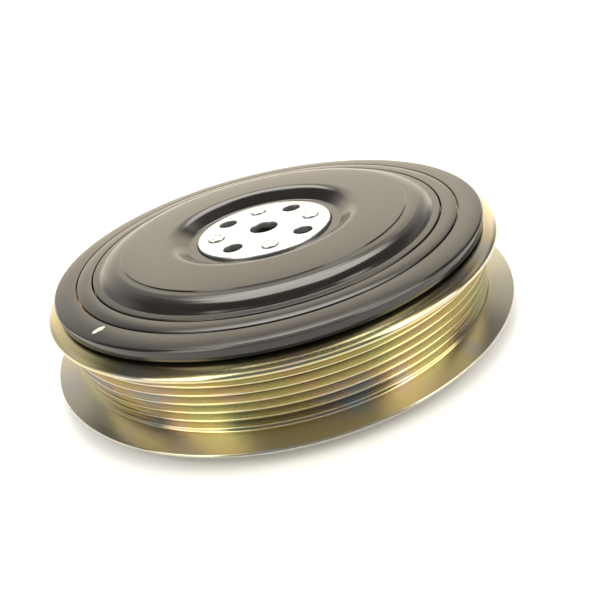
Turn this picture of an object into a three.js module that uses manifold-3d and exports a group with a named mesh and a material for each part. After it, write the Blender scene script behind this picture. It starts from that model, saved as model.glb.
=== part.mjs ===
// An electromagnetic pulley clutch: a belt-driven grooved pulley that turns on a ball bearing around a
// fixed coil, and an armature disc that the coil pulls onto the pulley's rotor to drive the hub.
// Millimetres, +Z along the axis towards the hub, z = 0 on the stator's mounting face.
import * as THREE from "three";
import { mergeVertices } from "three/addons/utils/BufferGeometryUtils.js";
import Module from "manifold-3d";

const wasm = await Module();
wasm.setup();

// ---- Driving dimensions ---------------------------------------------------------------------------
const GAP = 0.3; // left between pieces that touch
const AIR_GAP = 0.6; // between armature and rotor while the coil is off
const STEEL = 2; // sheet thickness of the dish
const SEGMENTS = 48; // round the large visible rings
const INNER_SEGMENTS = 36; // round the rings inside
const HOLE_SEGMENTS = 12;

const DISC_PLANE_Z = 42; // outer top edge of the armature disc
const DISC_R = 92.5;
const DISC_UNDERSIDE_Z = DISC_PLANE_Z - 3.9;
const ROTOR_FACE_Z = DISC_UNDERSIDE_Z - AIR_GAP;

const RIB_PITCH = 3.56; // PK belt profile
const RIB_COUNT = 6;
const RIB_TIP_R = 93.3;
const RIB_DEPTH = 3.3;
const RIB_TIP_HALF = 0.35;
const RIB_FLANK_DEG = 20;
const FIRST_GROOVE_Z = 29.88;
const BACK_FLANGE_R = 103.4;
const FRONT_FLANGE_R = 97.6;
const PULLEY_BORE_R = 87.4;

const BOLT_CIRCLE_R = 21.5; // four bolts and, between them, four rivets
const BOLT_HOLE_R = 4.2;
const PILOT_R = 6.3;
const HUB_PLATE_R = 30;
const HUB_RIVET_R = 2.6;

const BEARING = {
  bore: 35,
  shaftShoulder: 41,
  pitch: 45,
  bodyShoulder: 49,
  outer: 54.9,
  bottom: 12.2,
  width: 20,
};
const BALL_R = 6.3;
const BALL_COUNT = 12;
const RACE_R = BALL_R + 0.5;
const BEARING_MID_Z = BEARING.bottom + BEARING.width / 2;
const BEARING_TOP_Z = BEARING.bottom + BEARING.width;

const COIL_INNER_R = 60.7;
const COIL_OUTER_R = 79.6;
const COIL_WALL = 3;
const COIL_TOP_Z = 30.4;
const COIL_RIVET_CIRCLE_R = 70;
const PLATE_STEP_Z = 7; // how far the stator plate's outer ring stands off the mounting face
const PLATE_SHEET = 3;
const COIL_BASE_Z = PLATE_STEP_Z + PLATE_SHEET + GAP;
const PLATE_R = 78;
const CARRIER_BORE_R = 31;

const SPRING_T = 0.8;
const SPRING_OUTER_Z = 40.7;
const SPRING_RIVET_CIRCLE_R = 66;

// ---- Materials ------------------------------------------------------------------------------------
const metal = (color, roughness, metalness) =>
  new THREE.MeshStandardMaterial({ color, roughness, metalness });
const blackCoat = metal(0x38352f, 0.38, 0.6);
const yellowZinc = metal(0xb9a55c, 0.28, 0.95);
const whiteZinc = metal(0xd9dbd6, 0.35, 0.9);
const bareSteel = metal(0x9a9a98, 0.35, 1);
const darkSteel = metal(0x5b5d60, 0.45, 0.9);
const bearingSteel = metal(0xb4b6b8, 0.2, 1);
const copper = metal(0xa8572f, 0.4, 0.9);
const bronze = metal(0x8c7443, 0.45, 0.9);
const springSteel = metal(0x6f7276, 0.35, 0.9);
const rubber = metal(0x1c1c1c, 0.8, 0);
const nylon = metal(0x232426, 0.55, 0);
const resin = metal(0x2b211c, 0.6, 0);
const lining = metal(0x4a3d33, 0.9, 0);

// ---- Shape helpers --------------------------------------------------------------------------------
const radians = THREE.MathUtils.degToRad;
const polar = (r, degrees) => [r * Math.cos(radians(degrees)), r * Math.sin(radians(degrees))];
const everyAngle = (count, start = 0) => Array.from({ length: count }, (_, i) => start + (i * 360) / count);

// A closed (radius, height) outline turned about Z.
function revolve(outline, segments = SEGMENTS) {
  const points = outline.map(([r, z]) => new THREE.Vector2(r, z));
  if (THREE.ShapeUtils.area(points) < 0) points.reverse();
  points.push(points[0].clone());
  return new THREE.LatheGeometry(points, segments).rotateX(Math.PI / 2);
}

// A plain ring of rectangular section.
const ring = (inner, outer, bottom, top, segments = INNER_SEGMENTS) =>
  revolve([[inner, bottom], [outer, bottom], [outer, top], [inner, top]], segments);

// Points on a circle, as an outline or a hole.
function circle(r, segments, [x, y] = [0, 0]) {
  return everyAngle(segments).map((a) => {
    const [dx, dy] = polar(r, a);
    return new THREE.Vector2(x + dx, y + dy);
  });
}

// A flat plate with holes, standing from bottom to top.
function plate(outline, holes, bottom, top) {
  const shape = new THREE.Shape(outline);
  shape.holes = holes.map((h) => new THREE.Path(h));
  const flat = new THREE.ExtrudeGeometry(shape, { depth: top - bottom, bevelEnabled: false });
  return flat.translate(0, 0, bottom);
}

// A round bar along Z.
const bar = (r, bottom, top, [x, y] = [0, 0], segments = HOLE_SEGMENTS) =>
  new THREE.CylinderGeometry(r, r, top - bottom, segments)
    .rotateX(Math.PI / 2)
    .translate(x, y, (top + bottom) / 2);

function box([x0, x1], [y0, y1], [z0, z1]) {
  const geometry = new THREE.BoxGeometry(x1 - x0, y1 - y0, z1 - z0);
  return geometry.translate((x0 + x1) / 2, (y0 + y1) / 2, (z0 + z1) / 2);
}

function toSolid(geometry) {
  const bare = geometry.clone().deleteAttribute("normal").deleteAttribute("uv");
  const merged = mergeVertices(bare, 1e-3);
  return new wasm.Manifold(
    new wasm.Mesh({
      numProp: 3,
      vertProperties: merged.attributes.position.array,
      triVerts: new Uint32Array(merged.index.array),
    }),
  );
}

function toGeometry(solid) {
  const mesh = solid.getMesh();
  return new THREE.BufferGeometry()
    .setAttribute("position", new THREE.BufferAttribute(mesh.vertProperties, 3))
    .setIndex(new THREE.BufferAttribute(mesh.triVerts, 1));
}

const cut = (geometry, tools) =>
  toGeometry(tools.reduce((solid, tool) => solid.subtract(toSolid(tool)), toSolid(geometry)));
const join = (geometries) =>
  toGeometry(geometries.slice(1).reduce((solid, g) => solid.add(toSolid(g)), toSolid(geometries[0])));

const part = (name, geometry, material) => {
  const mesh = new THREE.Mesh(geometry, material);
  mesh.name = name;
  return mesh;
};

// ---- Stator: the pieces that stand still ------------------------------------------------------------
const COIL_RIVET_ANGLES = everyAngle(4, 45);
const LEAD_ANGLE = 90;
const LEAD_HOLE_R = 3.5;

function statorPlate() {
  const stepFoot = 57.5;
  const stepHead = 62.5;
  const bore = 38.5;
  const dished = revolve(
    [
      [bore, 0], [stepFoot + 1, 0], [stepHead + 1, PLATE_STEP_Z], [PLATE_R, PLATE_STEP_Z],
      [PLATE_R, PLATE_STEP_Z + PLATE_SHEET], [stepHead - 1, PLATE_STEP_Z + PLATE_SHEET],
      [stepFoot - 1, PLATE_SHEET], [bore, PLATE_SHEET],
    ],
    INNER_SEGMENTS,
  );
  const tappedHoles = everyAngle(4, 45).map((a) => bar(2.5, -1, 5, polar(51.5, a)));
  return cut(dished, [...tappedHoles, ...coilHoles()]);
}

// The rivet and lead holes that go through both the plate's outer ring and the coil housing's floor.
const coilHoles = () => [
  ...COIL_RIVET_ANGLES.map((a) => bar(2.5, 4, 15, polar(COIL_RIVET_CIRCLE_R, a))),
  bar(LEAD_HOLE_R, 4, 15, polar(COIL_RIVET_CIRCLE_R, LEAD_ANGLE)),
];

const CIRCLIP_Z = BEARING_TOP_Z + GAP;

function bearingCarrier() {
  const tube = BEARING.bore - GAP;
  const groove = tube - 1.5;
  return revolve(
    [
      [CARRIER_BORE_R, 0], [38.2, 0], [38.2, PLATE_SHEET + GAP], [46, PLATE_SHEET + GAP],
      [46, 6.3], [40.5, 6.3], [40.5, BEARING.bottom - GAP], [tube, BEARING.bottom - GAP],
      [tube, CIRCLIP_Z - 0.2], [groove, CIRCLIP_Z - 0.2],
      [groove, CIRCLIP_Z + 1.9], [tube, CIRCLIP_Z + 1.9], [tube, 35.6], [CARRIER_BORE_R, 35.6],
    ],
    INNER_SEGMENTS,
  );
}

function coilHousing() {
  const floor = COIL_BASE_Z + COIL_WALL;
  const yoke = revolve(
    [
      [COIL_INNER_R, COIL_BASE_Z], [COIL_OUTER_R, COIL_BASE_Z], [COIL_OUTER_R, COIL_TOP_Z],
      [COIL_OUTER_R - COIL_WALL, COIL_TOP_Z], [COIL_OUTER_R - COIL_WALL, floor],
      [COIL_INNER_R + COIL_WALL, floor], [COIL_INNER_R + COIL_WALL, COIL_TOP_Z], [COIL_INNER_R, COIL_TOP_Z],
    ],
    INNER_SEGMENTS,
  );
  return cut(yoke, coilHoles());
}

const BOBBIN = {
  inner: COIL_INNER_R + COIL_WALL + GAP,
  outer: COIL_OUTER_R - COIL_WALL - 0.4,
  bottom: COIL_BASE_Z + COIL_WALL + GAP,
  top: 27.2,
  wall: 1.3,
};

function coilBobbin() {
  const { inner, outer, bottom, top, wall } = BOBBIN;
  return revolve(
    [
      [inner, bottom], [outer, bottom], [outer, bottom + wall], [inner + wall, bottom + wall],
      [inner + wall, top - wall], [outer, top - wall], [outer, top], [inner, top],
    ],
    INNER_SEGMENTS,
  );
}

function coilWinding() {
  const { inner, outer, bottom, top, wall } = BOBBIN;
  return ring(inner + wall + GAP, outer - 0.6, bottom + wall + GAP, top - wall - GAP);
}

const coilPotting = () => ring(BOBBIN.inner, BOBBIN.outer, BOBBIN.top + GAP, COIL_TOP_Z - GAP);

// A rivet with its head under the stator plate.
function coilRivet(angle) {
  const at = polar(COIL_RIVET_CIRCLE_R, angle);
  const headTop = PLATE_STEP_Z - GAP;
  const shank = bar(2.2, headTop - 0.5, BOBBIN.bottom - GAP, at);
  return join([bar(3.8, headTop - 1.3, headTop, at), shank]);
}

// A lead seal that fills the hole through the plate and the housing's floor.
const leadGrommet = () =>
  bar(LEAD_HOLE_R - GAP, PLATE_STEP_Z, COIL_BASE_Z + COIL_WALL, polar(COIL_RIVET_CIRCLE_R, LEAD_ANGLE));

const SOCKET = { halfWidth: 8, near: 64.8, far: 84, bottom: 0.4, top: PLATE_STEP_Z - GAP };

function connectorSocket() {
  const { halfWidth, near, far, bottom, top } = SOCKET;
  const body = box([-halfWidth, halfWidth], [near, far], [bottom, top]);
  const mouth = box([1.3 - halfWidth, halfWidth - 1.3], [near + 7, far + 1], [bottom + 0.8, top - 0.8]);
  const pinHoles = [-3, 3].map((x) => box([x - 1.4, x + 1.4], [near + 2, near + 8], [2.8, 4.2]));
  return cut(body, [mouth, ...pinHoles]);
}

const terminalPin = (x) => box([x - 1, x + 1], [SOCKET.near + 3, SOCKET.far - 6.5], [3.1, 3.9]);

function bearingRace(shoulder, back, sign) {
  const half = Math.sqrt(RACE_R ** 2 - (BEARING.pitch - shoulder) ** 2);
  const reach = Math.asin(half / RACE_R);
  const arc = [-1, -0.5, 0, 0.5, 1].map((t) => [
    BEARING.pitch + sign * RACE_R * Math.cos(t * reach),
    BEARING_MID_Z + RACE_R * Math.sin(t * reach),
  ]);
  return revolve(
    [
      [back, BEARING.bottom], [shoulder, BEARING.bottom], ...arc,
      [shoulder, BEARING_TOP_Z], [back, BEARING_TOP_Z],
    ],
    INNER_SEGMENTS,
  );
}

// A snap ring with a gap at the back and two eyes, which stand on the side that the pliers reach.
function circlip(inner, outer, bottom, top, eyeInside) {
  const open = 10;
  const back = 90;
  const arc = everyAngle(25).map((_, i) => back + open + (i * (360 - 2 * open)) / 24);
  const outline = [...arc.map((a) => polar(outer, a)), ...arc.reverse().map((a) => polar(inner, a))];
  const strip = plate(outline.map(([x, y]) => new THREE.Vector2(x, y)), [], bottom, top);
  const eyeR = (outer - inner) / 2 + 0.6;
  const eyeAt = eyeInside ? inner + eyeR / 2 : outer - eyeR / 2;
  const eyes = [back + open, back - open].map((a) => bar(eyeR, bottom, top, polar(eyeAt, a), 8));
  return join([strip, ...eyes]);
}

function stator() {
  const group = new THREE.Group();
  group.add(
    part("stator_plate", statorPlate(), whiteZinc),
    part("bearing_carrier", bearingCarrier(), bareSteel),
    part("coil_housing", coilHousing(), blackCoat),
    part("coil_bobbin", coilBobbin(), nylon),
    part("coil_winding", coilWinding(), copper),
    part("coil_potting", coilPotting(), resin),
    part("connector_socket", connectorSocket(), nylon),
    part("terminal_pin_left", terminalPin(-3), bronze),
    part("terminal_pin_right", terminalPin(3), bronze),
    part("lead_grommet", leadGrommet(), rubber),
    part("bearing_inner_ring", bearingRace(BEARING.shaftShoulder, BEARING.bore, -1), bearingSteel),
    part("inner_circlip", circlip(33.5, 37, CIRCLIP_Z, CIRCLIP_Z + 1.7, false), springSteel),
  );
  COIL_RIVET_ANGLES.forEach((a, i) => group.add(part(`coil_rivet_${i + 1}`, coilRivet(a), bareSteel)));
  return group;
}

// ---- Rotor: the belt pulley and everything that turns with it -----------------------------------------
// One V groove between two rib tips, from its front edge to its back edge.
function groove(centreZ) {
  const rootR = RIB_TIP_R - RIB_DEPTH;
  const tip = RIB_PITCH / 2 - RIB_TIP_HALF;
  const root = tip - RIB_DEPTH * Math.tan(radians(RIB_FLANK_DEG));
  return [
    [RIB_TIP_R, centreZ + tip], [rootR, centreZ + root], [rootR, centreZ - root], [RIB_TIP_R, centreZ - tip],
  ];
}

const LAST_GROOVE_Z = FIRST_GROOVE_Z - (RIB_COUNT - 1) * RIB_PITCH;

function pulleyRim() {
  const front = DISC_PLANE_Z;
  const grooves = Array.from({ length: RIB_COUNT }, (_, i) => groove(FIRST_GROOVE_Z - i * RIB_PITCH)).flat();
  const backFlangeZ = LAST_GROOVE_Z - RIB_PITCH / 2 - 1;
  return revolve([
    [PULLEY_BORE_R, front - 5.6], [93.6, front - 5.8], [96.1, front - 6.4], [97.2, front - 7.1],
    [FRONT_FLANGE_R, front - 7.8], [FRONT_FLANGE_R, front - 8.8], [95.4, front - 9.7],
    ...grooves,
    [RIB_TIP_R + 0.1, backFlangeZ], [BACK_FLANGE_R - 0.4, backFlangeZ - 0.8],
    [BACK_FLANGE_R, backFlangeZ - 1.4], [BACK_FLANGE_R - 0.4, backFlangeZ - 2.2],
    [94, backFlangeZ - 1.8], [PULLEY_BORE_R, backFlangeZ - 1.5],
  ]);
}

const ROTOR = { outer: 86.6, outerPole: 80.8, innerPole: 59.4, bore: 55.3, shoulder: 50.5, discT: 5 };
const LINING = { inner: 69.4, outer: 75.6, depth: 2 };

function rotorBody() {
  const underside = ROTOR_FACE_Z - ROTOR.discT;
  const clipTop = BEARING.bottom - GAP;
  const clipBottom = clipTop - 2.6;
  const grooveZ = ROTOR_FACE_Z - LINING.depth;
  const section = revolve(
    [
      [ROTOR.outer, 9.5], [ROTOR.outer, ROTOR_FACE_Z], [LINING.outer, ROTOR_FACE_Z], [LINING.outer, grooveZ],
      [LINING.inner, grooveZ], [LINING.inner, ROTOR_FACE_Z], [ROTOR.shoulder, ROTOR_FACE_Z],
      [ROTOR.shoulder, underside], [ROTOR.bore, underside], [ROTOR.bore, clipTop], [57.2, clipTop],
      [57.2, clipBottom], [ROTOR.bore, clipBottom], [ROTOR.bore, 8.3], [ROTOR.innerPole, 8.3],
      [ROTOR.innerPole, underside], [ROTOR.outerPole, underside], [ROTOR.outerPole, 9.5],
    ],
    INNER_SEGMENTS,
  );
  const slots = everyAngle(6).map((a) => fluxSlot(a, underside - 1, grooveZ + 1));
  return cut(section, slots);
}

// A banana slot that keeps the two magnetic poles of the rotor disc apart.
function fluxSlot(middle, bottom, top) {
  const inner = 71;
  const outer = 74;
  const halfSpan = 22;
  const arc = [-1, -0.5, 0, 0.5, 1].map((t) => middle + t * halfSpan);
  const outline = [...arc.map((a) => polar(outer, a)), ...arc.reverse().map((a) => polar(inner, a))];
  return plate(outline.map(([x, y]) => new THREE.Vector2(x, y)), [], bottom, top);
}

const bearingSeal = (bottom) => ring(41.6, 48.7, bottom, bottom + 1);

function rotor() {
  const group = new THREE.Group();
  const clipBottom = BEARING.bottom - GAP - 2.3;
  group.add(
    part("pulley_rim", pulleyRim(), yellowZinc),
    part("rotor_body", rotorBody(), darkSteel),
    part(
      "friction_lining",
      ring(LINING.inner + GAP, LINING.outer - GAP, ROTOR_FACE_Z - LINING.depth + GAP, ROTOR_FACE_Z),
      lining,
    ),
    part("bearing_outer_ring", bearingRace(BEARING.bodyShoulder, BEARING.outer, 1), bearingSteel),
    part("outer_circlip", circlip(51.5, 56.9, clipBottom, clipBottom + 2, true), springSteel),
    part("front_seal", bearingSeal(BEARING_TOP_Z - 1.6), rubber),
    part("rear_seal", bearingSeal(BEARING.bottom + 0.6), rubber),
  );
  return group;
}

// ---- Ball set: cage and balls, which roll round between the two rings -----------------------------------
const BALL_ANGLES = everyAngle(BALL_COUNT);

function ballCage() {
  const half = BALL_R + 1.3;
  const band = ring(43.9, 46.1, BEARING_MID_Z - half, BEARING_MID_Z + half);
  const pockets = BALL_ANGLES.map((a) =>
    new THREE.CylinderGeometry(BALL_R + 0.45, BALL_R + 0.45, 10, 10)
      .rotateZ(Math.PI / 2)
      .translate(BEARING.pitch, 0, BEARING_MID_Z)
      .rotateZ(radians(a)),
  );
  return cut(band, pockets);
}

function ballSet() {
  const group = new THREE.Group();
  group.add(part("ball_cage", ballCage(), bronze));
  BALL_ANGLES.forEach((a, i) => {
    const name = `ball_${String(i + 1).padStart(2, "0")}`;
    const ball = part(name, new THREE.SphereGeometry(BALL_R, 10, 6), bearingSteel);
    ball.position.set(...polar(BEARING.pitch, a), BEARING_MID_Z);
    group.add(ball);
  });
  return group;
}

// ---- Hub: what bolts to the driven shaft ----------------------------------------------------------------
const HUB_TOP_Z = DISC_PLANE_Z + 0.9;
const HUB_PLATE_T = 3;
const DISH_SEAT_Z = HUB_TOP_Z - HUB_PLATE_T - GAP; // the dish's floor under the hub plate
const FLANGE_TOP_Z = DISH_SEAT_Z - STEEL - SPRING_T - 2 * GAP;
const FLANGE_BACK_Z = FLANGE_TOP_Z - 4.7;
const BOLT_ANGLES = everyAngle(4, 45);
const RIVET_ANGLES = everyAngle(4);

const hubHoles = (rivetR, boltR = BOLT_HOLE_R) => [
  ...BOLT_ANGLES.map((a) => circle(boltR, HOLE_SEGMENTS, polar(BOLT_CIRCLE_R, a))),
  ...RIVET_ANGLES.map((a) => circle(rivetR, HOLE_SEGMENTS, polar(BOLT_CIRCLE_R, a))),
];

function hubPlate() {
  const holes = [circle(PILOT_R, 24), ...hubHoles(HUB_RIVET_R + GAP)];
  return plate(circle(HUB_PLATE_R, SEGMENTS), holes, HUB_TOP_Z - HUB_PLATE_T, HUB_TOP_Z);
}

function hubFlange() {
  const holes = [circle(PILOT_R + 0.3, 24), ...hubHoles(HUB_RIVET_R + GAP)];
  const disc = plate(circle(27.5, INNER_SEGMENTS), holes, FLANGE_BACK_Z, FLANGE_TOP_Z);
  const counterbores = RIVET_ANGLES.map((a) =>
    bar(4.3, FLANGE_BACK_Z - 1, FLANGE_BACK_Z + 1.8, polar(BOLT_CIRCLE_R, a)),
  );
  return cut(disc, counterbores);
}

// The pressed dish: a stepped centre that holds the hub plate, a raised flat crown and a rolled foot.
function driveDish() {
  const crown = DISC_PLANE_Z + 4.5;
  const top = [
    [6.6, DISH_SEAT_Z], [30.3, DISH_SEAT_Z], [30.3, 41.7], [33.5, 41.7], [35.5, 42.5],
    [39.6, 45.1], [42, 46.1], [45, crown], [62.5, crown], [62.8, crown - 0.4], [65.2, 46],
    [67.6, 45.6], [69.7, 45.1], [71, 44.5], [72.3, 43.7], [73.3, 42.9], [76.1, 42.8],
  ];
  const underside = [
    [76.1, 41], [72.4, 41], [71, 42.4], [69.9, 43.2], [67.8, 43.9], [62.5, crown - STEEL],
    [45.5, crown - STEEL], [42.4, 44], [40.5, 43.1], [36.4, 40.6], [34.3, 39.7], [28.6, 39.7],
    [28, DISH_SEAT_Z - STEEL], [6.6, DISH_SEAT_Z - STEEL],
  ];
  const drills = [
    ...BOLT_ANGLES.map((a) => bar(BOLT_HOLE_R + 0.2, 30, 45, polar(BOLT_CIRCLE_R, a))),
    ...RIVET_ANGLES.map((a) => bar(HUB_RIVET_R + GAP, 30, 45, polar(BOLT_CIRCLE_R, a))),
  ];
  return cut(revolve([...top, ...underside]), drills);
}

const SPRING_ANGLES = everyAngle(3, 30);

// A ring clamped at the hub with three cranked arms that reach over the armature's inner ring.
function springPlate() {
  const ringZ = FLANGE_TOP_Z + GAP;
  const armOuter = 71;
  const halfWidth = 7;
  const side = [
    [26, ringZ], [33, ringZ], [46, SPRING_OUTER_Z], [armOuter, SPRING_OUTER_Z],
    [armOuter, SPRING_OUTER_Z + SPRING_T], [45.7, SPRING_OUTER_Z + SPRING_T], [32.7, ringZ + SPRING_T],
    [26, ringZ + SPRING_T],
  ].map(([r, z]) => new THREE.Vector2(r, z));
  const arms = SPRING_ANGLES.map((a) =>
    new THREE.ExtrudeGeometry(new THREE.Shape(side), { depth: 2 * halfWidth, bevelEnabled: false })
      .rotateX(Math.PI / 2)
      .translate(0, halfWidth, 0)
      .rotateZ(radians(a)),
  );
  const holes = [circle(14, 24), ...hubHoles(HUB_RIVET_R + GAP, BOLT_HOLE_R + 0.2)];
  const clampRing = plate(circle(27.4, INNER_SEGMENTS), holes, ringZ, ringZ + SPRING_T);
  const rivetHoles = SPRING_ANGLES.map((a) => bar(2.4, 38, 44, polar(SPRING_RIVET_CIRCLE_R, a)));
  return cut(join([clampRing, ...arms]), rivetHoles);
}

// Head on the hub plate, shank through the stack, closing head sunk in the hub flange.
function hubRivet(angle) {
  const at = polar(BOLT_CIRCLE_R, angle);
  return join([
    bar(4, HUB_TOP_Z + GAP, HUB_TOP_Z + 0.9, at),
    bar(HUB_RIVET_R, FLANGE_BACK_Z + 0.8, HUB_TOP_Z + 0.6, at),
    bar(3.9, FLANGE_BACK_Z + 0.2, FLANGE_BACK_Z + 1.5, at),
  ]);
}

function hub() {
  const group = new THREE.Group();
  group.add(
    part("hub_plate", hubPlate(), whiteZinc),
    part("drive_dish", driveDish(), blackCoat),
    part("spring_plate", springPlate(), springSteel),
    part("hub_flange", hubFlange(), bareSteel),
  );
  RIVET_ANGLES.forEach((a, i) => group.add(part(`hub_rivet_${i + 1}`, hubRivet(a), whiteZinc)));
  everyAngle(3, 90).forEach((a, i) => {
    group.add(part(`stop_pad_${i + 1}`, bar(3, 40.6, 43.5, polar(65, a), 10), rubber));
  });
  return group;
}

// ---- Armature: the disc that the coil pulls onto the rotor --------------------------------------------
const ARMATURE = { innerR: 61, dishGapR: 76.7, splitR: 83.1, innerFlangeT: 2.2, barrierTopZ: 40.2 };

function armatureInnerRing() {
  const { innerR, dishGapR, splitR, innerFlangeT, barrierTopZ } = ARMATURE;
  const flangeTop = DISC_UNDERSIDE_Z + innerFlangeT;
  const body = revolve([
    [innerR, DISC_UNDERSIDE_Z], [splitR - 1.2, DISC_UNDERSIDE_Z], [splitR - 1.2, barrierTopZ + GAP],
    [splitR - GAP, barrierTopZ + GAP], [splitR - GAP, 42.45], [dishGapR, 42.75], [dishGapR, flangeTop],
    [innerR, flangeTop],
  ]);
  return cut(body, SPRING_ANGLES.map((a) => bar(2.4, 37, 41, polar(SPRING_RIVET_CIRCLE_R, a))));
}

// Its rim hangs a little past the rotor's edge, clear of the pulley's front flange when it is pulled in.
function armatureOuterRing() {
  const { splitR, barrierTopZ } = ARMATURE;
  const skirtR = 88.2;
  const skirtZ = DISC_UNDERSIDE_Z - 0.8;
  return revolve([
    [splitR + 1.2, DISC_UNDERSIDE_Z], [skirtR, DISC_UNDERSIDE_Z], [skirtR, skirtZ],
    [DISC_R - 0.6, skirtZ], [DISC_R, skirtZ + 0.6],
    [DISC_R, DISC_PLANE_Z - 0.6], [DISC_R - 0.6, DISC_PLANE_Z], [splitR + GAP, 42.4],
    [splitR + GAP, barrierTopZ + GAP], [splitR + 1.2, barrierTopZ + GAP],
  ]);
}

const fluxBarrierRing = () =>
  ring(ARMATURE.splitR - 0.9, ARMATURE.splitR + 0.9, DISC_UNDERSIDE_Z, ARMATURE.barrierTopZ, SEGMENTS);

function springRivet(angle) {
  const at = polar(SPRING_RIVET_CIRCLE_R, angle);
  const headZ = SPRING_OUTER_Z + SPRING_T + GAP;
  return join([bar(2, DISC_UNDERSIDE_Z + 0.2, headZ + 0.5, at), bar(3.5, headZ, headZ + 1, at)]);
}

function armature() {
  const group = new THREE.Group();
  group.add(
    part("armature_outer_ring", armatureOuterRing(), blackCoat),
    part("flux_barrier_ring", fluxBarrierRing(), bronze),
    part("armature_inner_ring", armatureInnerRing(), blackCoat),
  );
  SPRING_ANGLES.forEach((a, i) => group.add(part(`spring_rivet_${i + 1}`, springRivet(a), bareSteel)));
  return group;
}

const clutch = new THREE.Group();
clutch.add(stator(), rotor(), ballSet(), hub(), armature());

export default clutch;
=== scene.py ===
"""The looks of an electromagnetic pulley clutch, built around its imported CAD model.

Outlines are (radius, height) in millimetres in the CAD's own frame; everything in Blender is in metres.
"""

import math

import bpy
from mathutils import Matrix, Vector


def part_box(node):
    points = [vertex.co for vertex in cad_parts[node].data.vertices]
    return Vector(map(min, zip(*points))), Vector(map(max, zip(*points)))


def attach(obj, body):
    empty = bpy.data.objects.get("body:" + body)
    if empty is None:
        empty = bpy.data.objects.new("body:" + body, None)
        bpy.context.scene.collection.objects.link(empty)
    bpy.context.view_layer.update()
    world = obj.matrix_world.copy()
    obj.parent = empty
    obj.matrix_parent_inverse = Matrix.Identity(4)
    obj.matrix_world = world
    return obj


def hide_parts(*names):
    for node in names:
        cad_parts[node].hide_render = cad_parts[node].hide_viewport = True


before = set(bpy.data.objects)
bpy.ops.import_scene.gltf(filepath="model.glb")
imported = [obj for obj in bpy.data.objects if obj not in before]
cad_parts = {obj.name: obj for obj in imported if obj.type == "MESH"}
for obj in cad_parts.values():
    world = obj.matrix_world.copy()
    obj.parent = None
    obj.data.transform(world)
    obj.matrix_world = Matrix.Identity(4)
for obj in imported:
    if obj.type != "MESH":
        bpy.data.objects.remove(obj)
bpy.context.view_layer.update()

MM = 0.001
PULLEY_ROUND = 320  # segments round the pulley
ROUND = 256  # segments round the other rings that show
MEDIUM_ROUND = 192
SMALL_ROUND = 48  # segments round holes and rivets
FILLET_STEPS = 5
SHARP_ANGLE = math.radians(40)
NEARLY_STRAIGHT = math.radians(179)
SPRING_ARMS = (1, 2, 3)
COIL_RIVETS = (1, 2, 3, 4)


# ---- Places that come from the frame ----------------------------------------------------------------


def reach(node):
    """A node's outer radius in millimetres, for a ring centred on the axis."""
    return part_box(node)[1].x / MM


def top(node):
    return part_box(node)[1].z / MM


def bottom(node):
    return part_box(node)[0].z / MM


def centre(node):
    """A node's middle in X and Y, in millimetres."""
    low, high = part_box(node)
    return (low.x + high.x) / 2 / MM, (low.y + high.y) / 2 / MM


# ---- Shapes -----------------------------------------------------------------------------------------


def rounded(outline, steps=FILLET_STEPS):
    """Turns a closed outline of (r, z) or (r, z, fillet radius) points into one with round corners."""
    points = []
    count = len(outline)
    for i, corner in enumerate(outline):
        here = Vector(corner[:2])
        radius = corner[2] if len(corner) > 2 else 0
        before = Vector(outline[i - 1][:2]) - here
        after = Vector(outline[(i + 1) % count][:2]) - here
        angle = before.angle(after)
        if radius <= 0 or angle > NEARLY_STRAIGHT:
            points.append(here)
            continue
        shortest = min(before.length, after.length)
        tangent = min(radius / math.tan(angle / 2), 0.49 * shortest)
        radius = tangent * math.tan(angle / 2)
        halfway = (before.normalized() + after.normalized()).normalized()
        middle = here + halfway * radius / math.sin(angle / 2)
        start = here + before.normalized() * tangent - middle
        end = here + after.normalized() * tangent - middle
        turn = start.angle_signed(end)
        for k in range(steps + 1):
            points.append(middle + Matrix.Rotation(-turn * k / steps, 2) @ start)
    return points


def shade(mesh):
    """Smooths the faces and keeps edges sharp where they turn by more than SHARP_ANGLE."""
    mesh.polygons.foreach_set("use_smooth", [True] * len(mesh.polygons))
    mesh.set_sharp_from_angle(angle=SHARP_ANGLE)


def finished(name, mesh, material):
    mesh.materials.append(material)
    shade(mesh)
    piece = bpy.data.objects.new(name, mesh)
    bpy.context.scene.collection.objects.link(piece)
    return piece


def apply_modifiers(piece):
    """Swaps a piece's mesh for the one that its modifiers make."""
    graph = bpy.context.evaluated_depsgraph_get()
    mesh = bpy.data.meshes.new_from_object(piece.evaluated_get(graph))
    piece.modifiers.clear()
    old = piece.data
    piece.data = mesh
    bpy.data.meshes.remove(old)
    shade(mesh)


def turned(name, outline, material, segments=ROUND, steps=FILLET_STEPS):
    """A closed outline in millimetres, turned about the Z axis; the outline stays off the axis."""
    points = rounded(outline, steps)
    area = sum(a.x * b.y - b.x * a.y for a, b in zip(points, points[1:] + points[:1]))
    if area < 0:
        points.reverse()
    rows = len(points)
    verts = []
    for s in range(segments):
        angle = 2 * math.pi * s / segments
        for p in points:
            x = p.x * math.cos(angle)
            y = p.x * math.sin(angle)
            verts.append((x * MM, y * MM, p.y * MM))
    faces = []
    for s in range(segments):
        here = s * rows
        there = (s + 1) % segments * rows
        for k in range(rows):
            after = (k + 1) % rows
            faces.append((here + k, there + k, there + after, here + after))
    mesh = bpy.data.meshes.new(name)
    mesh.from_pydata(verts, [], faces)
    return finished(name, mesh, material)


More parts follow.
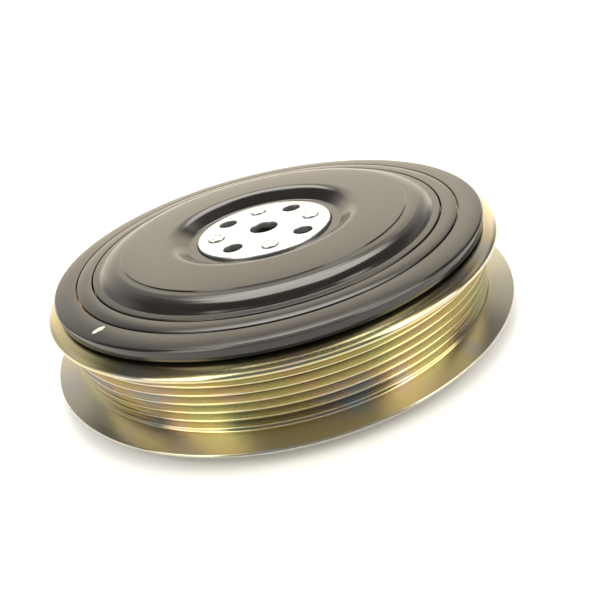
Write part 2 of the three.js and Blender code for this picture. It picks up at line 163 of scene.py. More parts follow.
def solid_of_revolution(name, outline, material, at):
    """As turned(), about a vertical axis at (x, y); the outline starts and ends on that axis."""
    far = -1000  # rounded() wants a closed outline, so two far points close this one
    inner = rounded([(far, 0), *outline, (far, 1)])[1:-1]
    rows = inner[1:-1]
    verts = [(at[0] * MM, at[1] * MM, inner[0].y * MM), (at[0] * MM, at[1] * MM, inner[-1].y * MM)]
    for s in range(SMALL_ROUND):
        angle = 2 * math.pi * s / SMALL_ROUND
        for p in rows:
            x = at[0] + p.x * math.cos(angle)
            y = at[1] + p.x * math.sin(angle)
            verts.append((x * MM, y * MM, p.y * MM))
    faces = []
    count = len(rows)
    for s in range(SMALL_ROUND):
        here = 2 + s * count
        there = 2 + (s + 1) % SMALL_ROUND * count
        faces.append((0, there, here))
        for k in range(count - 1):
            faces.append((here + k, there + k, there + k + 1, here + k + 1))
        faces.append((here + count - 1, there + count - 1, 1))
    mesh = bpy.data.meshes.new(name)
    mesh.from_pydata(verts, [], faces)
    return finished(name, mesh, material)


def polar(radius, degrees):
    return radius * math.cos(math.radians(degrees)), radius * math.sin(math.radians(degrees))


def angles(count, start=0):
    return [start + 360 * i / count for i in range(count)]


def drill_bit(radius, low, high, at, chamfer=0.25):
    """A cutter for a round hole whose two mouths, at low and high, are chamfered."""
    past = 0.5
    flare = radius + chamfer + past
    outline = [
        (0, low - past), (flare, low - past), (radius, low + chamfer), (radius, high - chamfer),
        (flare, high + past), (0, high + past),
    ]
    return solid_of_revolution("cutter", outline, None, at)


def drilled(piece, cutters):
    """Cuts the cutters out of the piece and removes them."""
    for cutter in cutters:
        step = piece.modifiers.new("hole", "BOOLEAN")
        step.operation = "DIFFERENCE"
        step.solver = "EXACT"
        step.object = cutter
    apply_modifiers(piece)
    for cutter in cutters:
        bpy.data.objects.remove(cutter)
    return piece


def rounded_box(name, low, high, radius, material):
    """A box with round edges between two corners, in metres."""
    mesh = bpy.data.meshes.new(name)
    corners = [(x, y, z) for z in (low.z, high.z) for y in (low.y, high.y) for x in (low.x, high.x)]
    faces = [(0, 2, 3, 1), (4, 5, 7, 6), (0, 1, 5, 4), (2, 6, 7, 3), (0, 4, 6, 2), (1, 3, 7, 5)]
    mesh.from_pydata(corners, [], faces)
    piece = finished(name, mesh, material)
    bevel = piece.modifiers.new("edges", "BEVEL")
    bevel.width = min(radius, 0.45 * min(high - low))
    bevel.segments = 3
    apply_modifiers(piece)
    return piece


def place(piece, body, slot, *nodes):
    """Fixes a piece to its CAD body, in place of the CAD nodes named; the slot argument is not used."""
    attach(piece, body)
    if nodes:
        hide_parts(*nodes)


# ---- Materials --------------------------------------------------------------------------------------


class Shader:
    """Builds one Principled material, node by node."""

    def __init__(self, name, **sockets):
        self.material = bpy.data.materials.new(name)
        self.material.use_nodes = True
        self.tree = self.material.node_tree
        self.bsdf = self.tree.nodes["Principled BSDF"]
        for socket, value in sockets.items():
            self.put(self.bsdf, socket.replace("_", " "), value)
        self.place = self.node("ShaderNodeTexCoord").outputs["Object"]
        split = self.node("ShaderNodeSeparateXYZ", Vector=self.place)
        self.x, self.y, self.z = split.outputs
        self.radius = self.math("SQRT", self.math("ADD", self.square(self.x), self.square(self.y)))
        self.angle = self.math("ARCTAN2", self.y, self.x)

    def put(self, node, socket, value):
        if isinstance(value, bpy.types.NodeSocket):
            self.tree.links.new(value, node.inputs[socket])
        elif isinstance(value, tuple) and len(value) == 3 and node.inputs[socket].type == "RGBA":
            node.inputs[socket].default_value = (*value, 1)
        else:
            node.inputs[socket].default_value = value

    def node(self, kind, settings=None, **sockets):
        made = self.tree.nodes.new(kind)
        for name, value in (settings or {}).items():
            setattr(made, name, value)
        for socket, value in sockets.items():
            self.put(made, socket.replace("_", " "), value)
        return made

    def math(self, operation, a, b=None):
        made = self.node("ShaderNodeMath", {"operation": operation})
        self.put(made, 0, a)
        if b is not None:
            self.put(made, 1, b)
        return made.outputs[0]

    def square(self, value):
        return self.math("MULTIPLY", value, value)

    def noise(self, size, detail=2, stretch=(1, 1, 1), at=None):
        """Noise whose blobs are about size millimetres across."""
        scale = [k / (size * MM) for k in stretch]
        scaled = self.node("ShaderNodeVectorMath", {"operation": "MULTIPLY"})
        self.put(scaled, 0, at or self.place)
        self.put(scaled, 1, scale)
        made = self.node("ShaderNodeTexNoise", Vector=scaled.outputs[0], Scale=1.0, Detail=detail)
        return made.outputs["Fac"]

    def ring_lines(self, size):
        """Noise that varies across a turned surface and hardly round it, as a lathe tool's marks do."""
        around = self.math("MULTIPLY", self.angle, 0.6 * MM)
        across = self.node("ShaderNodeCombineXYZ", X=self.radius, Y=self.z, Z=around)
        return self.noise(size, 3, at=across.outputs[0])

    def ramp(self, factor, stops):
        """A colour ramp through (position, colour) stops in rising order."""
        made = self.node("ShaderNodeValToRGB", Fac=factor)
        elements = made.color_ramp.elements
        while len(elements) < len(stops):
            elements.new(0.5)
        for element, (position, colour) in zip(elements, stops):
            element.position = position
            element.color = (*colour, 1)
        return made.outputs["Color"]

    def mix(self, factor, a, b, blend="MIX"):
        made = self.node("ShaderNodeMix", {"data_type": "RGBA", "blend_type": blend})
        self.put(made, 0, factor)
        self.put(made, 6, a)
        self.put(made, 7, b)
        return made.outputs[2]

    def range(self, value, low, high, to_low, to_high):
        made = self.node("ShaderNodeMapRange")
        for socket, given in zip(range(5), (value, low, high, to_low, to_high)):
            self.put(made, socket, given)
        return made.outputs[0]

    def bump(self, height, depth, strength, under=None):
        """Adds relief; depth is in millimetres."""
        made = self.node("ShaderNodeBump", Height=height, Distance=depth * MM, Strength=strength)
        if under is not None:
            self.put(made, "Normal", under)
        self.put(self.bsdf, "Normal", made.outputs[0])
        return made.outputs[0]

    def use(self, **sockets):
        for socket, value in sockets.items():
            self.put(self.bsdf, socket.replace("_", " "), value)
        return self.material


CHIP_AT = (*polar(87.3, 220), 42)
CHIP_REACH = (2.8, 1.4, 4)
CHIP_TURN = -0.45  # radians about Z
CHIP_COLOUR = (0.64, 0.59, 0.50)
CHIP_ROUGHNESS = 0.45


def bare_fleck(shader):
    """One inside a ragged oval at CHIP_AT and nothing outside it."""
    offset = shader.node("ShaderNodeVectorMath", {"operation": "SUBTRACT"})
    shader.put(offset, 0, shader.place)
    shader.put(offset, 1, [c * MM for c in CHIP_AT])
    turned_in = shader.node("ShaderNodeVectorRotate", {"rotation_type": "Z_AXIS"}, Angle=CHIP_TURN)
    shader.put(turned_in, "Vector", offset.outputs[0])
    spread = shader.node("ShaderNodeVectorMath", {"operation": "MULTIPLY"})
    shader.put(spread, 0, turned_in.outputs[0])
    shader.put(spread, 1, [1 / (r * MM) for r in CHIP_REACH])
    distance = shader.node("ShaderNodeVectorMath", {"operation": "LENGTH"})
    shader.put(distance, 0, spread.outputs[0])
    tatters = shader.range(shader.noise(0.9, 3), 0, 1, -0.6, 0.6)
    ragged = shader.math("ADD", distance.outputs["Value"], tatters)
    return shader.range(ragged, 0.75, 1.0, 1.0, 0.0)


def black_coat(name, chipped=False):
    """Satin black electro-coat with a little orange peel."""
    shader = Shader(name, IOR=1.55)
    cloud = shader.noise(38, 3)
    colour = shader.mix(cloud, (0.010, 0.009, 0.008), (0.018, 0.016, 0.014))
    roughness = shader.range(shader.noise(17, 4), 0.3, 0.7, 0.13, 0.18)
    if chipped:
        bare = bare_fleck(shader)
        colour = shader.mix(bare, colour, CHIP_COLOUR)
        roughness = shader.range(bare, 0, 1, roughness, CHIP_ROUGHNESS)
    peel = shader.bump(shader.noise(0.9, 2), 0.004, 0.5)
    shader.bump(shader.noise(9, 2), 0.02, 0.25, under=peel)
    return shader.use(Base_Color=colour, Roughness=roughness)


ZINC_FILM = [
    (0.30, (0.54, 0.55, 0.31)), (0.42, (0.60, 0.54, 0.30)), (0.50, (0.62, 0.53, 0.28)),
    (0.58, (0.61, 0.51, 0.37)), (0.70, (0.49, 0.52, 0.48)),
]
ZINC_LINES = (0.38, 0.33, 0.20)
# Painted shade: a darker, slightly bluish multiplier that stands in for the shade down in the V grooves.
ZINC_GROOVE_PAINTED_SHADE = (0.81, 0.83, 0.94)
ZINC_ON_FLANGE = (0.47, 0.47, 0.46)
LATHE_STRETCH = 0.8
ACROSS_THE_LINES = 0.25  # a quarter turn from the tangent that runs round the axis


def yellow_zinc(name):
    """Turned steel with a bright zinc plate and an iridescent yellow passivation, with painted shade in the
    V grooves.
    """
    shader = Shader(name, Metallic=1.0)
    film = shader.noise(24, 3, stretch=(1, 1, 1.6))
    marks = shader.ring_lines(0.35)
    colour = shader.ramp(film, ZINC_FILM)
    colour = shader.mix(shader.range(marks, 0.3, 0.7, 0.0, 0.12), colour, ZINC_LINES)
    # Painted shade: everything nearer the axis than 91.6 mm (the groove roots and the inner part of the
    # front flange's top face) is multiplied darker and bluer, fading out by 93.1 mm, just under the rib
    # tips.
    painted_groove_shade = shader.range(shader.radius, 91.6 * MM, 93.1 * MM, 1.0, 0.0)
    colour = shader.mix(painted_groove_shade, colour, ZINC_GROOVE_PAINTED_SHADE, "MULTIPLY")
    past_ribs = shader.range(shader.radius, 93.4 * MM, 95 * MM, 0.0, 0.6)
    behind_ribs = shader.range(shader.z, 13 * MM, 15 * MM, 1.0, 0.0)
    on_rear_flange = shader.math("MULTIPLY", past_ribs, behind_ribs)
    colour = shader.mix(on_rear_flange, colour, ZINC_ON_FLANGE)
    roughness = shader.range(marks, 0.25, 0.75, 0.16, 0.24)
    shader.bump(marks, 0.002, 0.4)
    around = shader.node("ShaderNodeTangent", {"direction_type": "RADIAL", "axis": "Z"})
    return shader.use(
        Base_Color=colour, Roughness=roughness, Tangent=around.outputs[0],
        Anisotropic=LATHE_STRETCH, Anisotropic_Rotation=ACROSS_THE_LINES)


def turned_metal(name, light, dark, rough=(0.22, 0.4), relief=0.004):
    """Metal with fine concentric tool marks."""
    shader = Shader(name, Metallic=1.0)
    marks = shader.ring_lines(0.5)
    stain = shader.noise(24, 3)
    colour = shader.mix(shader.range(stain, 0.3, 0.7, 0.0, 1.0), light, dark)
    colour = shader.mix(shader.range(marks, 0.35, 0.65, 0.0, 0.25), colour, dark)
    shader.bump(marks, relief, 0.6)
    return shader.use(Base_Color=colour, Roughness=shader.range(marks, 0.25, 0.75, *rough))


def plated_sheet(name, light, dark, rough=(0.28, 0.42)):
    """Rolled sheet with a thin plating and a fine grain."""
    shader = Shader(name, Metallic=1.0)
    grain = shader.noise(0.7, 4)
    stain = shader.noise(11, 3)
    colour = shader.mix(shader.range(stain, 0.35, 0.65, 0.0, 1.0), light, dark)
    shader.bump(grain, 0.004, 0.5)
    return shader.use(Base_Color=colour, Roughness=shader.range(grain, 0.3, 0.7, *rough))


def dull(name, light, dark, rough, grain=0.8, depth=0.02):
    """Rubber, moulded plastic, resin or friction material."""
    shader = Shader(name)
    speck = shader.noise(grain, 4)
    colour = shader.mix(shader.range(speck, 0.3, 0.7, 0.0, 1.0), light, dark)
    roughness = shader.range(speck, 0.3, 0.7, rough - 0.06, rough + 0.06)
    shader.bump(speck, depth, 0.5)
    return shader.use(Base_Color=colour, Roughness=roughness)


def wound_wire(name):
    """Enamelled copper wire lying round the coil in even turns."""
    wire = 0.7 * MM
    shader = Shader(name, Metallic=0.85)
    turns = shader.math("SINE", shader.math("MULTIPLY", shader.z, 2 * math.pi / wire))
    layer = shader.math("SINE", shader.math("MULTIPLY", shader.radius, 2 * math.pi / wire))
    wires = shader.range(shader.math("ADD", turns, layer), -2, 2, 0, 1)
    colour = shader.mix(wires, (0.20, 0.06, 0.03), (0.62, 0.24, 0.10))
    shader.bump(wires, 0.2, 0.8)
    return shader.use(Base_Color=colour, Roughness=shader.range(shader.noise(6), 0.3, 0.7, 0.28, 0.4))


MATERIALS = {
    "black": black_coat("black_coat"),
    "black_ring": black_coat("black_coat_with_chip", chipped=True),
    "yellow": yellow_zinc("yellow_passivated_zinc"),
    "white": plated_sheet("bright_zinc", (0.80, 0.82, 0.82), (0.72, 0.74, 0.74)),
    "white_plate": plated_sheet("satin_zinc", (0.62, 0.63, 0.62), (0.50, 0.51, 0.50), (0.34, 0.5)),
    "steel": turned_metal("turned_steel", (0.56, 0.55, 0.53), (0.34, 0.33, 0.32)),
    "iron": turned_metal("turned_iron", (0.26, 0.26, 0.26), (0.12, 0.12, 0.12), (0.32, 0.5)),
    "polished": turned_metal(
        "ground_steel", (0.66, 0.67, 0.68), (0.52, 0.53, 0.54), (0.1, 0.18), relief=0.001),
    "spring": plated_sheet("spring_strip", (0.28, 0.29, 0.31), (0.17, 0.18, 0.21)),
    "brass": turned_metal("dull_brass", (0.60, 0.45, 0.22), (0.38, 0.27, 0.13), (0.3, 0.45)),
    "copper": wound_wire("enamelled_wire"),
    "rubber": dull("moulded_rubber", (0.030, 0.030, 0.030), (0.012, 0.012, 0.012), 0.62),
    "nylon": dull("filled_nylon", (0.035, 0.036, 0.040), (0.018, 0.018, 0.021), 0.5, grain=0.4, depth=0.01),
    "resin": dull("cast_resin", (0.050, 0.032, 0.024), (0.026, 0.016, 0.012), 0.42, grain=5),
    "lining": dull("friction_lining", (0.16, 0.12, 0.09), (0.05, 0.04, 0.03), 0.85, grain=0.6, depth=0.06),
}


# ---- Rotor ------------------------------------------------------------------------------------------

RIB_PITCH = 3.56
RIB_COUNT = 6
RIB_DEPTH = 3.3
RIB_TIP_HALF = 0.35
RIB_FLANK = math.radians(20)
FLANGE_PAST_RIBS = 10.1
FIRST_GROOVE_BELOW_FRONT = 6.52
PULLEY_BORE_R = 87.4


def groove(centre_z, tip_r):
    """One V groove with round tips and root, from its front edge to its back edge."""
    root_r = tip_r - RIB_DEPTH
    tip = RIB_PITCH / 2 - RIB_TIP_HALF
    root = tip - RIB_DEPTH * math.tan(RIB_FLANK)
    return [
        (tip_r, centre_z + tip, 0.3), (root_r, centre_z + root, 0.35), (root_r, centre_z - root, 0.35),
        (tip_r, centre_z - tip, 0.3),
    ]


def grooved_pulley():
    high = top("pulley_rim")
    low = bottom("pulley_rim")
    edge = reach("pulley_rim")
    tip_r = edge - FLANGE_PAST_RIBS
    first = high - FIRST_GROOVE_BELOW_FRONT
    grooves = [p for i in range(RIB_COUNT) for p in groove(first - i * RIB_PITCH, tip_r)]
    front = [
        (PULLEY_BORE_R, high, 0.4), (93.4, high - 0.15, 6), (96.2, high - 0.85, 4), (97.6, high - 2, 1.6),
        (97.6, high - 3.4, 0.5), (95.4, high - 4.1, 0.8),
    ]
    rear = [
        (tip_r + 0.1, low + 2.2, 0.5), (edge - 0.3, low + 1.45, 0.25), (edge, low + 0.8, 0.3),
        (edge - 0.4, low, 0.3), (94, low + 0.4, 1), (PULLEY_BORE_R, low + 0.7, 0.4),
    ]
    piece = turned("grooved_pulley", front + grooves + rear, MATERIALS["yellow"], PULLEY_ROUND, steps=4)
    place(piece, "rotor", "yellow_zinc", "pulley_rim")


def rotor_shell():
    face = top("rotor_body")
    low = bottom("rotor_body")
    underside = face - 5
    outline = [
        (86.6, low + 1.2, 0.4), (86.6, face, 0.4), (75.6, face, 0.15), (75.6, face - 2, 0.2),
        (69.4, face - 2, 0.2), (69.4, face, 0.15), (50.5, face, 0.4), (50.5, underside, 0.3),
        (55.3, underside, 0.2), (55.3, low + 3.6, 0.1), (57.2, low + 3.6, 0.1), (57.2, low + 1, 0.1),
        (55.3, low + 1, 0.1), (55.3, low, 0.3), (59.4, low, 0.3), (59.4, underside, 1),
        (80.8, underside, 1), (80.8, low + 1.2, 0.3),
    ]
    piece = turned("rotor_shell", outline, MATERIALS["iron"], MEDIUM_ROUND, steps=3)
    place(piece, "rotor", "dark_steel", "rotor_body")


def lining_ring():
    low, high = bottom("friction_lining"), top("friction_lining")
    outline = [(69.7, low, 0.1), (75.3, low, 0.1), (75.3, high, 0.2), (69.7, high, 0.2)]
    piece = turned("lining_ring", outline, MATERIALS["lining"], MEDIUM_ROUND, steps=2)
    place(piece, "rotor", "lining", "friction_lining")


# ---- Armature ---------------------------------------------------------------------------------------

SKIRT = 0.8  # how far the outer ring's rim hangs past its rubbing face
OUTER_RING = 3.9
SPRING_RIVET_HEAD = 0.6


def outer_friction_ring():
    low = bottom("armature_inner_ring")
    skirt = low - SKIRT
    edge = reach("armature_outer_ring")
    high = low + OUTER_RING
    outline = [
        (84.3, low, 0.2), (88.2, low, 0.2), (88.2, skirt, 0.3), (edge, skirt, 0.7), (edge, high - 0.6, 0.25),
        (edge - 0.6, high, 0.3), (83.4, high + 0.4, 0.35), (83.4, low + 2.4, 0.1), (84.3, low + 2.4, 0.1),
    ]
    piece = turned("outer_friction_ring", outline, MATERIALS["black_ring"], ROUND, steps=4)
    place(piece, "armature", "black_coat", "armature_outer_ring")


def inner_friction_ring():
    low = bottom("armature_inner_ring")
    flange_top = low + 2.2
    outline = [
        (61, low, 0.3), (81.9, low, 0.2), (81.9, low + 2.4, 0.1), (82.8, low + 2.4, 0.1),
        (82.8, low + 4.35, 0.35), (76.7, low + 4.65, 0.35), (76.7, flange_top, 0.3), (61, flange_top, 0.3),
    ]
    piece = turned("inner_friction_ring", outline, MATERIALS["black"], ROUND, steps=4)
    bits = [drill_bit(2.4, low, flange_top, centre(f"spring_rivet_{i}")) for i in SPRING_ARMS]
    place(drilled(piece, bits), "armature", "black_coat", "armature_inner_ring")


def barrier_ring():
    low, high = bottom("flux_barrier_ring"), top("flux_barrier_ring")
    outline = [(82.2, low, 0.15), (84, low, 0.15), (84, high, 0.15), (82.2, high, 0.15)]
    piece = turned("barrier_ring", outline, MATERIALS["brass"], ROUND, steps=2)
    place(piece, "armature", "bronze", "flux_barrier_ring")


def spring_rivets():
    """Rivets whose heads leave the spring room for the armature's travel."""
    for i in SPRING_ARMS:
        node = f"spring_rivet_{i}"
        low, high = bottom(node), top(node)
        head = high - SPRING_RIVET_HEAD
        outline = [
            (0, low), (2, low, 0.3), (2, head, 0.05), (3.5, head, 0.1), (3.3, high - 0.1, 0.3), (0, high),
        ]
        piece = solid_of_revolution(f"spring_pin_{i}", outline, MATERIALS["steel"], at=centre(node))
        place(piece, "armature", "bare_steel", node)


# ---- Hub --------------------------------------------------------------------------------------------

BOLT_CIRCLE = 21.5
BOLT_AT = [polar(BOLT_CIRCLE, a) for a in angles(4, 45)]
RIVET_AT = [polar(BOLT_CIRCLE, a) for a in angles(4)]
BOLT_HOLE = 4.2
RIVET_HOLE = 2.9
RIVET_TAIL_HOLE = 4.3
RIVET_TAIL_DEPTH = 1.8


def front_plate():
    low, high = bottom("hub_plate"), top("hub_plate")
    edge = reach("hub_plate")
    outline = [(6.3, low, 0.2), (edge, low, 0.2), (edge, high, 0.5), (6.3, high, 0.4)]
    piece = turned("front_plate", outline, MATERIALS["white"], MEDIUM_ROUND, steps=4)
    bits = [drill_bit(BOLT_HOLE, low, high, at) for at in BOLT_AT]
    bits += [drill_bit(RIVET_HOLE, low, high, at, 0.1) for at in RIVET_AT]
    place(drilled(piece, bits), "hub", "white_zinc", "hub_plate")


def pressed_dish():
    crown = top("drive_dish")
    seat = bottom("hub_plate") - 0.3
    well = crown - 4.8
    outline = [
        (6.6, seat, 0.3), (30.3, seat, 0.3), (30.3, well, 0.5), (34.2, well, 3), (41.8, crown, 10),
        (62.5, crown, 0.12), (62.85, crown - 0.45, 0.15), (65.2, crown - 0.53, 9), (67.5, crown - 0.87, 9),
        (69.7, crown - 1.42, 7), (71, crown - 1.97, 4), (72.2, crown - 2.81, 3), (73.1, crown - 3.62, 0.8),
        (76.1, crown - 3.7, 0.4), (76.1, crown - 5.5, 0.3), (72.4, crown - 5.5, 0.8), (71, crown - 4.1, 1.5),
        (69.9, crown - 3.3, 2), (67.8, crown - 2.6, 3), (62.5, crown - 2, 1), (45.5, crown - 2, 2),
        (42.4, crown - 2.5, 2), (40.5, crown - 3.4, 2), (36.4, crown - 5.9, 1), (34.3, well - 2, 0.6),
        (28.6, well - 2, 0.4), (28, seat - 2, 0.4), (6.6, seat - 2, 0.3),
    ]
    piece = turned("pressed_dish", outline, MATERIALS["black"], ROUND, steps=8)
    bits = [drill_bit(BOLT_HOLE + 0.2, seat - 2, seat, at, 0.15) for at in BOLT_AT]
    bits += [drill_bit(RIVET_HOLE, seat - 2, seat, at, 0.1) for at in RIVET_AT]
    place(drilled(piece, bits), "hub", "black_coat", "drive_dish")


def shaft_flange():
    low, high = bottom("hub_flange"), top("hub_flange")
    outline = [(6.6, low, 0.4), (27.5, low, 0.6), (27.5, high, 0.3), (6.6, high, 0.3)]
    piece = turned("shaft_flange", outline, MATERIALS["steel"], MEDIUM_ROUND, steps=4)
    bits = [drill_bit(BOLT_HOLE, low, high, at) for at in BOLT_AT]
    bits += [drill_bit(RIVET_HOLE, low, high, at, 0.1) for at in RIVET_AT]
    bits += [drill_bit(RIVET_TAIL_HOLE, low - 3, low + RIVET_TAIL_DEPTH, at, 0) for at in RIVET_AT]
    place(drilled(piece, bits), "hub", "bare_steel", "hub_flange")


def hub_rivets():
    """Low round heads on the plate, with a shallow ring left by the riveting tool."""
    for i, at in enumerate(RIVET_AT, 1):
        node = f"hub_rivet_{i}"
        low, high = bottom(node), top(node)
        outline = [
            (0, low), (3.7, low, 0.3), (3.9, low + 1.3, 0.2), (2.6, low + 1.5, 0.1), (2.6, high - 0.6, 0.05),
            (3.95, high - 0.6, 0.1), (3.7, high - 0.12, 0.3), (2.7, high, 0.2), (2.2, high - 0.3, 0.15),
            (1.7, high - 0.05, 0.15), (0, high),
        ]
        piece = solid_of_revolution(f"riveted_pin_{i}", outline, MATERIALS["white"], at=at)
        place(piece, "hub", "white_zinc", node)


# ---- Stator -----------------------------------------------------------------------------------------

PLATE_BOLTS = [polar(51.5, a) for a in angles(4, 45)]
PLATE_BOLT_HOLE = 2.5
PLATE_THICKNESS = 3
COIL_RIVET_HOLE = 2.5
GROMMET_HOLE = 3.5


def mounting_plate():
    low, high = bottom("stator_plate"), top("stator_plate")
    step = high - PLATE_THICKNESS
    outline = [
        (38.5, low, 0.5), (58.5, low, 2), (63.5, step, 2), (78, step, 0.5), (78, high, 0.5), (61.5, high, 2),
        (56.5, low + PLATE_THICKNESS, 2), (38.5, low + PLATE_THICKNESS, 0.3),
    ]
    piece = turned("mounting_plate", outline, MATERIALS["white_plate"], MEDIUM_ROUND, steps=5)
    bits = [drill_bit(PLATE_BOLT_HOLE, low, low + PLATE_THICKNESS, at, 0.4) for at in PLATE_BOLTS]
    bits += [drill_bit(COIL_RIVET_HOLE, step, high, centre(f"coil_rivet_{i}"), 0.2) for i in COIL_RIVETS]
    bits.append(drill_bit(GROMMET_HOLE, step, high, centre("lead_grommet"), 0.2))
    place(drilled(piece, bits), "stator", "white_zinc", "stator_plate")


def bearing_tube():
    low, high = bottom("bearing_carrier"), top("bearing_carrier")
    clip = bottom("inner_circlip")
    outline = [
        (31, low, 0.6), (38.2, low, 0.5), (38.2, 3.3, 0.1), (46, 3.3, 0.3), (46, 6.3, 0.5), (40.5, 6.3, 0.6),
        (40.5, 11.9, 0.4), (34.7, 11.9, 0.2), (34.7, clip - 0.2, 0.05), (33.2, clip - 0.2, 0.1),
        (33.2, clip + 1.9, 0.1), (34.7, clip + 1.9, 0.05), (34.7, high, 0.6), (31, high, 0.5),
    ]
    piece = turned("bearing_tube", outline, MATERIALS["steel"], MEDIUM_ROUND, steps=4)
    place(piece, "stator", "bare_steel", "bearing_carrier")


def coil_case():
    low, high = bottom("coil_housing"), top("coil_housing")
    inside = low + 3
    outline = [
        (60.7, low, 1), (79.6, low, 1), (79.6, high, 0.3), (76.6, high, 0.3), (76.6, inside, 0.3),
        (63.7, inside, 0.3), (63.7, high, 0.3), (60.7, high, 0.3),
    ]
    piece = turned("coil_case", outline, MATERIALS["black"], MEDIUM_ROUND, steps=4)
    bits = [drill_bit(COIL_RIVET_HOLE, low, inside, centre(f"coil_rivet_{i}"), 0.1) for i in COIL_RIVETS]
    bits.append(drill_bit(GROMMET_HOLE, low, inside, centre("lead_grommet"), 0.1))
    place(drilled(piece, bits), "stator", "black_coat", "coil_housing")


def coil_rivets():
    for i in COIL_RIVETS:
        node = f"coil_rivet_{i}"
        low, high = bottom(node), top(node)
        head = low + 1.3
        outline = [
            (0, low), (2.4, low + 0.1, 0.8), (3.8, low + 0.9, 0.4), (3.8, head, 0.1), (2.2, head, 0.1),
            (2.2, high, 0.2), (0, high),
        ]
        piece = solid_of_revolution(f"coil_pin_{i}", outline, MATERIALS["steel"], at=centre(node))
        place(piece, "stator", "bare_steel", node)


def lead_socket():
    """The socket's body with round edges and a hollow mouth, and the two guide ribs under it."""
    low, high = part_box("connector_socket")
    body = rounded_box("socket_body", low, high, 0.7 * MM, MATERIALS["nylon"])
    wall = 0.8 * MM
    mouth = rounded_box(
        "cutter", Vector((low.x + 1.3 * MM, low.y + 7 * MM, low.z + wall)),
        Vector((high.x - 1.3 * MM, high.y + 3 * MM, high.z - wall)), 0.4 * MM, None)
    drilled(body, [mouth])
    place(body, "stator", "nylon", "connector_socket")
    middle = (low.x + high.x) / 2
    for i, x in enumerate((-5, 5)):
        rib_low = Vector((middle + (x - 0.5) * MM, low.y + 1.5 * MM, low.z - 0.3 * MM))
        rib_high = Vector((middle + (x + 0.5) * MM, high.y - 3 * MM, low.z + 0.4 * MM))
        rib = rounded_box(f"socket_rib_{i + 1}", rib_low, rib_high, 0.15 * MM, MATERIALS["nylon"])
        place(rib, "stator", "nylon")


# ---- CAD nodes that stay, with finished materials ---------------------------------------------------

KEPT = {
    "polished": ["bearing_inner_ring", "bearing_outer_ring", *[f"ball_{i:02d}" for i in range(1, 13)]],
    "brass": ["ball_cage", "terminal_pin_left", "terminal_pin_right"],
    "rubber": ["front_seal", "rear_seal", "lead_grommet", *[f"stop_pad_{i}" for i in SPRING_ARMS]],
    "spring": ["inner_circlip", "outer_circlip", "spring_plate"],
    "nylon": ["coil_bobbin"],
    "copper": ["coil_winding"],
    "resin": ["coil_potting"],
}


def finish_kept_nodes():
    for key, nodes in KEPT.items():
        for node in nodes:
            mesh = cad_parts[node].data
            mesh.materials.clear()
            mesh.materials.append(MATERIALS[key])


# ---- Stage ------------------------------------------------------------------------------------------

CAMERA_AT = (-0.00819, -0.23617, 0.13058)
CAMERA_TURN = math.radians(-4)
LOOK_DOWN = math.radians(28.43)
CAMERA_ROLL = math.radians(13.17)
LENS = 33.73
SENSOR = 36
FLOOR_HALF = 4
FLOOR_FRONT = -0.18
FLOOR_Z = -0.0002
FILL_STRENGTH = 1.8
FILL_SPREAD = math.radians(100)
AMBIENT = (0.09, 0.093, 0.10)
BACKGROUND = (1.2, 1.2, 1.2)
WARM = (1.0, 0.89, 0.70)
CREAM = (1.0, 0.95, 0.85)
BLUE = (0.5, 0.65, 1.0)
WHITE = (1, 1, 1)


def camera():
    data = bpy.data.cameras.new("camera")
    data.sensor_width = SENSOR
    data.lens = LENS
    data.clip_start = 0.01
    data.clip_end = 50
    eye = bpy.data.objects.new("camera", data)
    bpy.context.scene.collection.objects.link(eye)
    forward = Vector((0, math.cos(LOOK_DOWN), -math.sin(LOOK_DOWN)))
    right = Vector((1, 0, 0))
    up = right.cross(forward)
    cos, sin = math.cos(CAMERA_ROLL), math.sin(CAMERA_ROLL)
    across = cos * right - sin * up
    upward = sin * right + cos * up
    turn = Matrix.Rotation(CAMERA_TURN, 3, "Z")
    columns = [turn @ across, turn @ upward, turn @ -forward]
    eye.matrix_world = Matrix.Translation(CAMERA_AT) @ Matrix(columns).transposed().to_4x4()
    bpy.context.scene.camera = eye


def floor():
    """A pale sheet just under the object; it ends near the object on the camera's side, so that the
    metal there mirrors less white."""
    mesh = bpy.data.meshes.new("floor")
    corners = [
        (-FLOOR_HALF, FLOOR_FRONT, 0), (FLOOR_HALF, FLOOR_FRONT, 0),
        (FLOOR_HALF, FLOOR_HALF, 0), (-FLOOR_HALF, FLOOR_HALF, 0),
    ]
    mesh.from_pydata(corners, [], [(0, 1, 2, 3)])
    shader = Shader("pale_floor")
    tone = shader.mix(shader.noise(260, 2), (0.90, 0.90, 0.89), (0.93, 0.93, 0.92))
    material = shader.use(Base_Color=tone, Roughness=0.7)
    sheet = finished("floor", mesh, material)
    sheet.location.z = FLOOR_Z
    sheet.rotation_euler.z = CAMERA_TURN


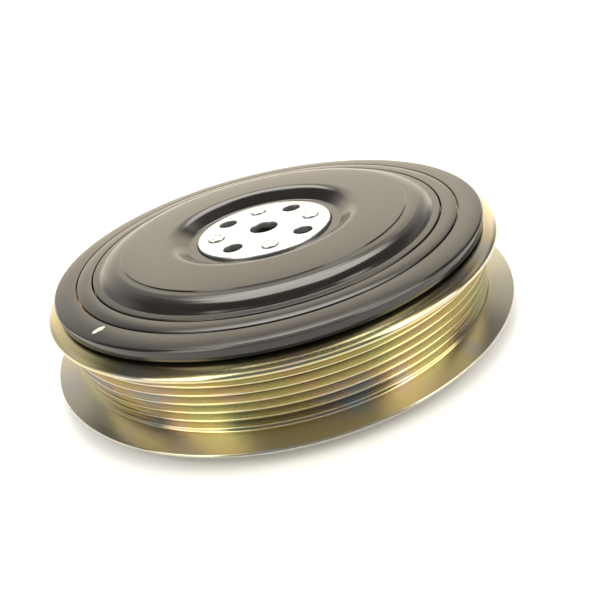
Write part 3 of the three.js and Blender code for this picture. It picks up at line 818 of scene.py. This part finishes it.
class Sky:
    """A world of soft panels; a bearing is in degrees to the left of straight behind the object."""

    def __init__(self, base):
        self.world = bpy.data.worlds.new("studio")
        self.world.use_nodes = True
        self.tree = self.world.node_tree
        place = self.tree.nodes.new("ShaderNodeTexCoord").outputs["Generated"]
        split = self.tree.nodes.new("ShaderNodeSeparateXYZ")
        self.tree.links.new(place, split.inputs[0])
        self.x, self.y, self.z = split.outputs
        self.height = self.math("ARCSINE", self.z)
        self.total = self.scaled(base, 1.0)

    def made(self, kind, operation, *values):
        node = self.tree.nodes.new(kind)
        node.operation = operation
        for i, value in enumerate(values):
            if isinstance(value, bpy.types.NodeSocket):
                self.tree.links.new(value, node.inputs[i])
            else:
                node.inputs[i].default_value = value
        return node

    def math(self, operation, *values):
        return self.made("ShaderNodeMath", operation, *values).outputs[0]

    def times(self, a, b):
        return self.math("MULTIPLY", a, b)

    def scaled(self, colour, weight):
        node = self.made("ShaderNodeVectorMath", "SCALE", colour)
        if isinstance(weight, bpy.types.NodeSocket):
            self.tree.links.new(weight, node.inputs["Scale"])
        else:
            node.inputs["Scale"].default_value = weight
        return node.outputs[0]

    def window(self, value, half, soft):
        """One inside +-half, falling to nothing over soft radians either side of the edge."""
        node = self.tree.nodes.new("ShaderNodeMapRange")
        node.interpolation_type = "SMOOTHSTEP"
        self.tree.links.new(self.math("ABSOLUTE", value), node.inputs[0])
        for i, given in enumerate((half + soft, half - soft, 0.0, 1.0), 1):
            node.inputs[i].default_value = given
        return node.outputs[0]

    def panel(self, bearing, width, low, high, soft, strength, colour=WHITE):
        """Adds a panel that is width wide about its bearing and reaches from low to high, in degrees."""
        azimuth = math.radians(90 + bearing) + CAMERA_TURN
        cos, sin = math.cos(azimuth), math.sin(azimuth)
        ahead = self.math("ADD", self.times(self.x, cos), self.times(self.y, sin))
        aside = self.math("SUBTRACT", self.times(self.y, cos), self.times(self.x, sin))
        beside = self.math("ARCTAN2", aside, ahead)
        across = self.window(beside, math.radians(width / 2), math.radians(soft))
        rise = self.math("SUBTRACT", self.height, math.radians((low + high) / 2))
        along = self.window(rise, math.radians((high - low) / 2), math.radians(soft))
        weight = self.times(self.times(across, along), strength)
        lit = self.scaled(colour, weight)
        self.total = self.made("ShaderNodeVectorMath", "ADD", self.total, lit).outputs[0]

    def use(self):
        """Lights the scene with the panels; the camera itself sees a white background past the floor."""
        sky = self.tree.nodes["Background"]
        seen = self.tree.nodes.new("ShaderNodeLightPath").outputs["Is Camera Ray"]
        white = self.scaled(BACKGROUND, seen)
        brightest = self.made("ShaderNodeVectorMath", "MAXIMUM", self.total, white)
        self.tree.links.new(brightest.outputs[0], sky.inputs["Color"])
        bpy.context.scene.world = self.world


def fill_light():
    """Even light from overhead that keeps the floor pale; it makes no highlights."""
    data = bpy.data.lights.new("fill", "SUN")
    data.energy = FILL_STRENGTH
    data.angle = FILL_SPREAD
    lamp = bpy.data.objects.new("fill", data)
    lamp.visible_glossy = False
    bpy.context.scene.collection.objects.link(lamp)


def studio():
    sky = Sky(AMBIENT)
    sky.panel(bearing=0, width=80, low=-20, high=20, soft=8, strength=1.7, colour=WARM)
    sky.panel(bearing=-2, width=44, low=20, high=34, soft=6, strength=1.9, colour=WARM)
    sky.panel(bearing=46, width=52, low=20, high=34, soft=6, strength=0.6, colour=CREAM)
    sky.panel(bearing=-50, width=52, low=20, high=34, soft=6, strength=0.6, colour=CREAM)
    sky.panel(bearing=-2, width=52, low=40, high=64, soft=3, strength=6.0, colour=CREAM)
    sky.panel(bearing=126, width=30, low=5, high=60, soft=2, strength=4.2, colour=CREAM)
    sky.panel(bearing=-115, width=38, low=5, high=60, soft=2, strength=4.2, colour=CREAM)
    sky.panel(bearing=180, width=96, low=50, high=64, soft=4, strength=1.8, colour=CREAM)
    sky.panel(bearing=180, width=70, low=6, high=38, soft=6, strength=0.3, colour=BLUE)
    sky.panel(bearing=74, width=66, low=-20, high=22, soft=6, strength=0.5)
    sky.panel(bearing=-42, width=20, low=-20, high=22, soft=4, strength=0.5)
    sky.panel(bearing=180, width=120, low=-50, high=-4, soft=6, strength=0.1)
    sky.use()
    fill_light()
    view = bpy.context.scene.view_settings
    view.view_transform = "Standard"
    view.look = "None"


# ---- Build ------------------------------------------------------------------------------------------

camera()
floor()
studio()
finish_kept_nodes()
grooved_pulley()
rotor_shell()
lining_ring()
outer_friction_ring()
inner_friction_ring()
barrier_ring()
spring_rivets()
front_plate()
pressed_dish()
shaft_flange()
hub_rivets()
mounting_plate()
bearing_tube()
coil_case()
coil_rivets()
lead_socket()
